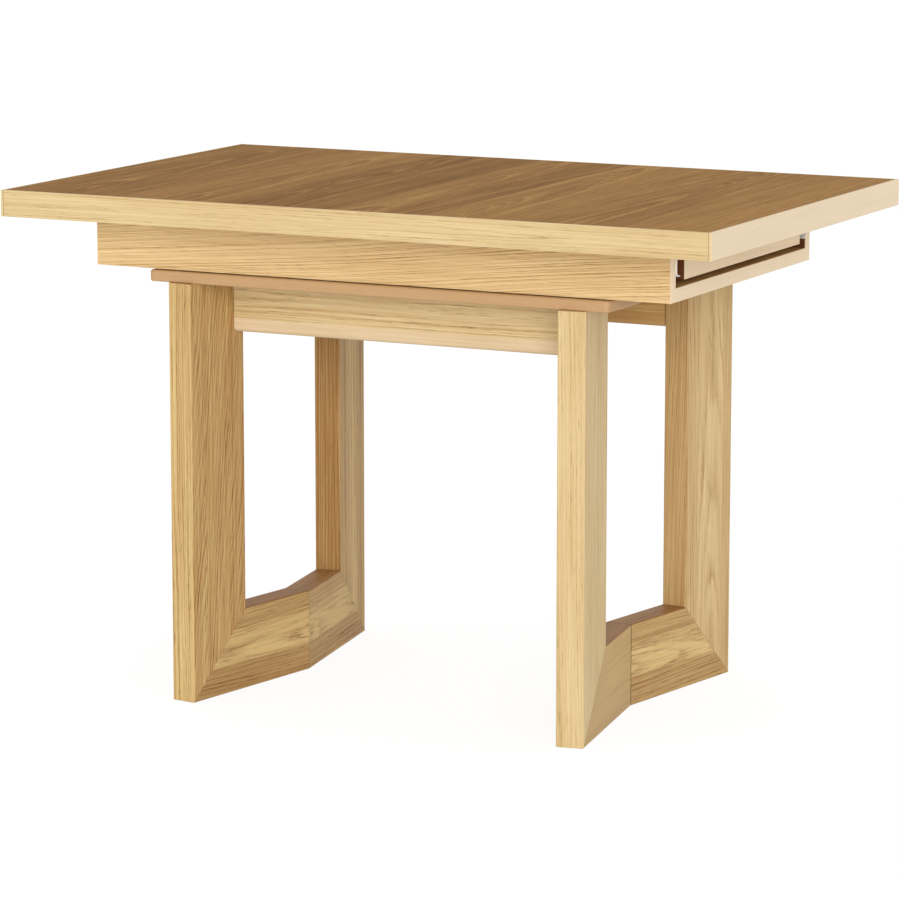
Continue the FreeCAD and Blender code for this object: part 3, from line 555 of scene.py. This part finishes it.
def metal(label, name, along, across, base, seed, cell, rough, metallic=1.0, scuffs=0.15):
    """Sheet metal, enamel or nylon: marks stretched along one way, with faint smears.

    cell is a mark's length and width in mm. Real drawn and brushed lines are under a tenth of a
    millimetre wide: these are as coarse as shows.
    """
    made, tree = new_material(label)
    sizes, _ = board_axes(tree, name, along, across)
    marks = grainy(tree, sizes, cell, seed, detail=4.0, rough=0.7)
    smear, (start, full), light = SMEARS
    smears = grainy(tree, sizes, smear, seed + 1, detail=3.0)
    span = {0: smears, 1: start, 2: full, 3: 0.0, 4: scuffs}
    worn = add(tree, "ShaderNodeMapRange", span)
    smeared = {0: worn, 6: rgba(base), 7: rgba(base, light)}
    low, high = (rough + change for change in METAL_HAZE)
    relief = {"Height": marks, "Strength": 0.15, "Distance": 0.05 * MM}
    close_material(made, name, {
        "Base Color": add(tree, "ShaderNodeMix", smeared, **COLOUR_MIX),
        "Metallic": metallic,
        "Roughness": add(tree, "ShaderNodeMapRange", {0: marks, **NOISE_SPAN, 3: low, 4: high}),
        "Normal": add(tree, "ShaderNodeBump", relief),
    })


def half_frame_way(end, face):
    """The way a half frame runs from its bend, level, away from the table's middle line."""
    return Vector((ENDS[end] * math.sin(BEND), FACES[face] * math.cos(BEND), 0))


def shown(tree):
    """1 for the rays that show a backdrop: to the camera, in a mirror and through glass."""
    rays = add(tree, "ShaderNodeLightPath").node.outputs
    total = rays["Is Camera Ray"]
    for name in ("Is Glossy Ray", "Is Transmission Ray"):
        total = add(tree, "ShaderNodeMath", {0: total, 1: rays[name]}, operation="MAXIMUM")
    return total


class StageOperator(bpy.types.Operator):
    """Make the floor, the lights and the camera"""

    bl_idname = "draw_leaf_table.stage"
    bl_label = "Stage"

    def execute(self, context):
        values = settings()
        scene = context.scene
        scene.view_settings.view_transform = "Standard"

        # Matt white board: the eye sees an even white with the table's faint shadow. Its glow is
        # only for the rays that show a backdrop, so it sheds no light on the table.
        bpy.ops.mesh.primitive_plane_add(size=FLOOR_SIDE)
        floor = context.object
        floor.name = "studio_floor"
        made, tree = new_material("white_board_matt")
        share = add(tree, "ShaderNodeMath", {0: shown(tree), 1: GLOW_SEEN}, operation="MULTIPLY")
        paint = add(tree, "ShaderNodeBsdfDiffuse", {"Color": FLOOR_PAINT})
        glow = add(tree, "ShaderNodeEmission", {"Color": rgba(values.floor), "Strength": FLOOR_GLOW})
        both = add(tree, "ShaderNodeMixShader", {0: share, 1: paint, 2: glow})
        add(tree, "ShaderNodeOutputMaterial", {"Surface": both})
        floor.data.materials.append(made)

        world = bpy.data.worlds.new("white_room")
        scene.world = world
        world.use_nodes = True
        tree = world.node_tree
        tree.nodes.clear()
        room = add(tree, "ShaderNodeBackground", {0: (1, 1, 1, 1), 1: values.sky_level})
        white = add(tree, "ShaderNodeBackground", {0: rgba(values.floor), 1: 1.0})
        both = add(tree, "ShaderNodeMixShader", {0: shown(tree), 1: room, 2: white})
        add(tree, "ShaderNodeOutputWorld", {"Surface": both})

        # One wide soft light from the front right, a little above the table.
        data = bpy.data.lights.new("key_light", "SUN")
        data.energy = values.key_level
        data.angle = KEY_SPREAD
        lamp = bpy.data.objects.new("key_light", data)
        lamp.rotation_euler = KEY_WAY.to_track_quat("-Z", "Y").to_euler()
        scene.collection.objects.link(lamp)

        data = bpy.data.cameras.new("camera")
        data.lens = values.lens
        data.sensor_width = FILM
        camera = bpy.data.objects.new("camera", data)
        camera.location = CAMERA_PLACE
        camera.rotation_euler = CAMERA_TURN
        scene.collection.objects.link(camera)
        scene.camera = camera
        return {"FINISHED"}


class TopOperator(bpy.types.Operator):
    """Finish the top: planked veneer, core and lippings"""

    bl_idname = "draw_leaf_table.top"
    bl_label = "Top"

    def execute(self, context):
        values = settings()
        brown = (values.brown_pale, values.brown_dark)
        light = (values.light_pale, values.light_dark)
        low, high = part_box("top_veneer")
        edges = [(Y, side, *GLUE["veneer"]) for side in (low.y, high.y)]
        # Stained oak veneer, brushed and oiled: brown planks whose tones differ a little.
        oak("oak_veneer_stained", "top_veneer", Y, X, *brown, 1, "brushed", TOP_PLANKS, edges, **OILED)
        # Oak backing veneer, raw: plain light oak on the underside.
        oak("oak_backing_raw", "top_core", Y, X, *light, 2, "calm", TOP_PLANKS, rough=RAW)
        low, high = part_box("top_band_front")
        ends = [(X, side, *GLUE["lipping"]) for side in (low.x, high.x)]
        for seed, face in enumerate(FACES, start=3):
            # Oak lipping, planed and lacquered: long fine straight streaks.
            oak(f"oak_lipping_{face}_planed", f"top_band_{face}", X, Z, *light, seed, "fine", seams=ends)
        lipping = towards(*light, BAND_END)
        for seed, end in enumerate(ENDS, start=5):
            # Oak edge band, sliced and lacquered: nearly even pale beige with faint grain, cut flush
            # with the lippings and as yellow as they are there.
            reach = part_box(f"top_band_{end}")[1].y - FACE_INSET
            oak(f"edge_band_{end}_sliced", f"top_band_{end}", Y, Z,
                values.band, dim(values.band, BAND_LIGHT), seed, "plain",
                faced_and_shaded=[(side * Y, reach, lipping) for side in FACES.values()])
        return {"FINISHED"}


class TrayOperator(bpy.types.Operator):
    """Finish the tray and the plate under it"""

    bl_idname = "draw_leaf_table.tray"
    bl_label = "Tray"

    def execute(self, context):
        values = settings()
        warm = (values.warm_pale, values.warm_dark)
        golden = (values.golden_pale, values.golden_dark)
        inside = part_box("apron_back")[0].y + FACE_INSET
        for i, (face, side) in enumerate(FACES.items()):
            # Flat sawn oak apron, lacquered: long slanting arcs with dark pores, and dark brown painted
            # shade on its inside.
            oak(f"oak_apron_{face}_flat_sawn", f"apron_{face}", X, Z, *golden, 11 + i, "slant",
                one_board(move=0.2 + 0.2 * i, pith=1.1), faced_and_shaded=[(-side * Y, -inside, values.painted_shade)])
        # Flat sawn oak floor of the tray, lacquered: arcs and dark pores.
        oak("oak_tray_floor_flat_sawn", "tray_floor", X, Y, *warm, 13)
        # Rift sawn oak crossbar, raw: straight lines.
        oak("oak_crossbar_rift_sawn", "tray_crossbar", Y, Z, *warm, 14, "rift", rough=RAW)
        # Beech edge bands, sanded: even cream with small flecks.
        beech("beech_floor_band_sanded", "floor_end_bands", Y, Z, values.band, 15)
        beech("beech_apron_band_sanded", "apron_end_bands", Z, Y, values.band, 16)
        # Beech plate, foiled: plain peach.
        beech("beech_plate_foiled", "mounting_plate", X, Y, values.beech, 17)
        return {"FINISHED"}


class LegsOperator(bpy.types.Operator):
    """Finish the leg frames and the long rails"""

    bl_idname = "draw_leaf_table.legs"
    bl_label = "Leg frames and rails"

    def execute(self, context):
        values = settings()
        light = (values.light_pale, values.light_dark)
        warm = (values.warm_pale, values.warm_dark)
        for i, end in enumerate(ENDS):
            bend = (Y, 0.0, *GLUE[f"bend_{end}"])
            for j, face in enumerate(FACES):
                way = half_frame_way(end, face)
                mitre = (way + Z, way.x * ENDS[end] * APEX + HALF_FRAME, *GLUE["mitre"])
                seed = 21 + 4 * i + 2 * j
                board = LEG_BOARDS[end, face]
                pale, dark = between(warm, light, board["paleness"])
                # Glued oak post, planed: soft upright grain, lines on the narrow faces, and painted shade
                # in the tones of shaded boards and inner narrow faces.
                oak(f"oak_post_{end}_{face}_planed", f"post_{end}_{face}", Z, way,
                    pale, dim(dark, board["light"]), seed, *board["post"], [mitre])
                pale, dark = between(warm, light, FOOT_PALENESS * board["paleness"])
                # Glued oak foot rail, planed: a pale flat sawn stave between two straight ones, or one
                # plain board, with painted shade on its top face.
                oak(f"oak_foot_{end}_{face}_planed", f"foot_{end}_{face}", way, Z,
                    pale, dim(dark, FOOT_LIGHT), seed + 1, *board["foot"], [mitre, bend])
        for seed, (face, side) in enumerate(FACES.items(), start=31):
            front = face == "front"
            wood = light if front else between(warm, light, BACK_RAIL_PALENESS)
            edge = (values.band, values.light_dark) if front else wood
            seams = []
            # Dark lines where the rails and lippings meet the posts: glue lines deepened as painted
            # shade.
            for end_side in ENDS.values():
                normal = Vector((end_side * math.cos(BEND), -side * math.sin(BEND), 0))
                seams.append((normal, APEX * math.cos(BEND), *GLUE["rail"]))
            # Rift sawn oak rail, lacquered: level lines and dark streaks.
            oak(f"oak_rail_{face}_rift_sawn", f"rail_{face}", X, Z, *wood, seed, "rift", seams=seams)
            # Oak lipping with a worked round, sanded: calmer than the rail, paler in front.
            oak(f"oak_rail_lipping_{face}_sanded", f"rail_lipping_{face}", X, Z, *edge, seed + 2,
                "plain", one_board(tone=0.58 if front else 0.4), seams)
        return {"FINISHED"}


class DrawOperator(bpy.types.Operator):
    """Finish both draw units with their folded leaves"""

    bl_idname = "draw_leaf_table.draws"
    bl_label = "Draw units"

    def execute(self, context):
        values = settings()
        brown = (values.brown_pale, values.brown_dark)
        pale = (values.band, values.light_dark)
        for i, end in enumerate(ENDS):
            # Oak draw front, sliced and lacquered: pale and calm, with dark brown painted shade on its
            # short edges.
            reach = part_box(f"draw_front_{end}")[1].y - FACE_INSET
            facing_and_shade = [(side * Y, reach, values.painted_shade) for side in FACES.values()]
            oak(f"oak_draw_front_{end}_sliced", f"draw_front_{end}", Y, Z, *pale, 41 + i, "plain",
                one_board(tone=0.85), faced_and_shaded=facing_and_shade)
            # Draw sides and strips: dark brown painted shade with faint flecks.
            beech(f"painted_shade_sides_{end}", f"draw_sides_{end}", X, Z, values.painted_shade, 43 + i)
            beech(f"painted_shade_strips_{end}", f"draw_strips_{end}", X, Z, values.painted_shade, 49 + i)
            # Birch ply crossbars, sanded: cream with short flecks.
            beech(f"birch_crossbars_{end}_sanded", f"draw_crossbars_{end}", Y, Z, values.ply, 45 + i)
            # Birch ply bottom sheet, rolled: the same cream, duller.
            beech(f"birch_bottom_{end}_rolled", f"draw_bottom_{end}", X, Y, values.ply, 47 + i, rough=0.6)
            for j, half in enumerate(("lower", "upper")):
                # Stained oak leaf, brushed and oiled: the top's brown planks again.
                oak(f"oak_leaf_{half}_{end}_stained", f"leaf_{half}_{end}", Y, X, *brown,
                    51 + 2 * i + j, "brushed", LEAF_PLANKS, **OILED)
        return {"FINISHED"}


class FittingsOperator(bpy.types.Operator):
    """Finish slides, ball cages, hinges, screws and tongues"""

    bl_idname = "draw_leaf_table.fittings"
    bl_label = "Fittings"

    def execute(self, context):
        values = settings()
        for i, end in enumerate(ENDS):
            # Rolled steel, white enamel: smooth with a soft shine.
            metal(f"steel_outer_{end}_enamelled", f"slide_outer_{end}", X, Z, values.enamel, 61 + i,
                  cell=(60, 8), rough=0.32, metallic=0.0, scuffs=0.08)
            for j, role in enumerate(("middle", "inner")):
                # Rolled steel, dark grey-brown: fine drawn lines along the slide.
                metal(f"steel_{role}_{end}_dark_grey", f"slide_{role}_{end}", X, Z, values.dark_slide_steel,
                      63 + 2 * i + j, cell=(90, 0.6), rough=0.4)
            for j, role in enumerate(("outer", "inner")):
                # Moulded nylon cages: dull, with faint flow marks.
                metal(f"nylon_{role}_{end}_moulded", f"ball_cages_{role}_{end}", X, Z, values.nylon,
                      67 + 2 * i + j, cell=(12, 2), rough=0.5, metallic=0.0)
            # Rolled brass hinges, brushed: warm yellow with fine lines.
            metal(f"brass_hinges_{end}_brushed", f"leaf_hinges_{end}", X, Z, values.brass, 71 + i,
                  cell=(40, 0.4), rough=0.3)
            # Beech tongues, milled: plain and dull.
            beech(f"beech_tongues_{end}_milled", f"draw_tongues_{end}", Z, Y, values.beech, 73 + i,
                  rough=0.7)
        for seed, name in enumerate(("leg_bolts", "tray_screws"), start=75):
            # Turned steel, zinc plated: light grey with fine lines along the shank.
            metal(f"steel_{name}_zinc_plated", name, Z, X, values.zinc, seed, cell=(6, 0.5), rough=0.35)
        for seed, name in enumerate(("top_tongues", "rail_tongues", "frame_splines"), start=77):
            # Beech tongues and splines, milled: plain and dull.
            beech(f"beech_{name}_milled", name, X, Z, values.beech, seed, rough=0.7)
        return {"FINISHED"}


class TablePanel(bpy.types.Panel):
    """Buttons and values for the table"""

    bl_idname = "VIEW3D_PT_draw_leaf_table"
    bl_label = "Draw leaf table"
    bl_space_type = "VIEW_3D"
    bl_region_type = "UI"
    bl_category = "Table"

    def draw(self, context):
        layout = self.layout
        for operator in OPERATORS:
            layout.operator(operator.bl_idname)
        for name in TableSettings.__annotations__:
            layout.prop(settings(), name)


OPERATORS = (StageOperator, TopOperator, TrayOperator, LegsOperator, DrawOperator, FittingsOperator)
CLASSES = (TableSettings, *OPERATORS, TablePanel)


def register():
    for item in CLASSES:
        bpy.utils.register_class(item)
    bpy.types.Scene.draw_leaf_table = PointerProperty(type=TableSettings)


def unregister():
    del bpy.types.Scene.draw_leaf_table
    for item in reversed(CLASSES):
        bpy.utils.unregister_class(item)


def main():
    register()
    bpy.ops.draw_leaf_table.stage()
    bpy.ops.draw_leaf_table.top()
    bpy.ops.draw_leaf_table.tray()
    bpy.ops.draw_leaf_table.legs()
    bpy.ops.draw_leaf_table.draws()
    bpy.ops.draw_leaf_table.fittings()


if __name__ == "__main__":
    main()
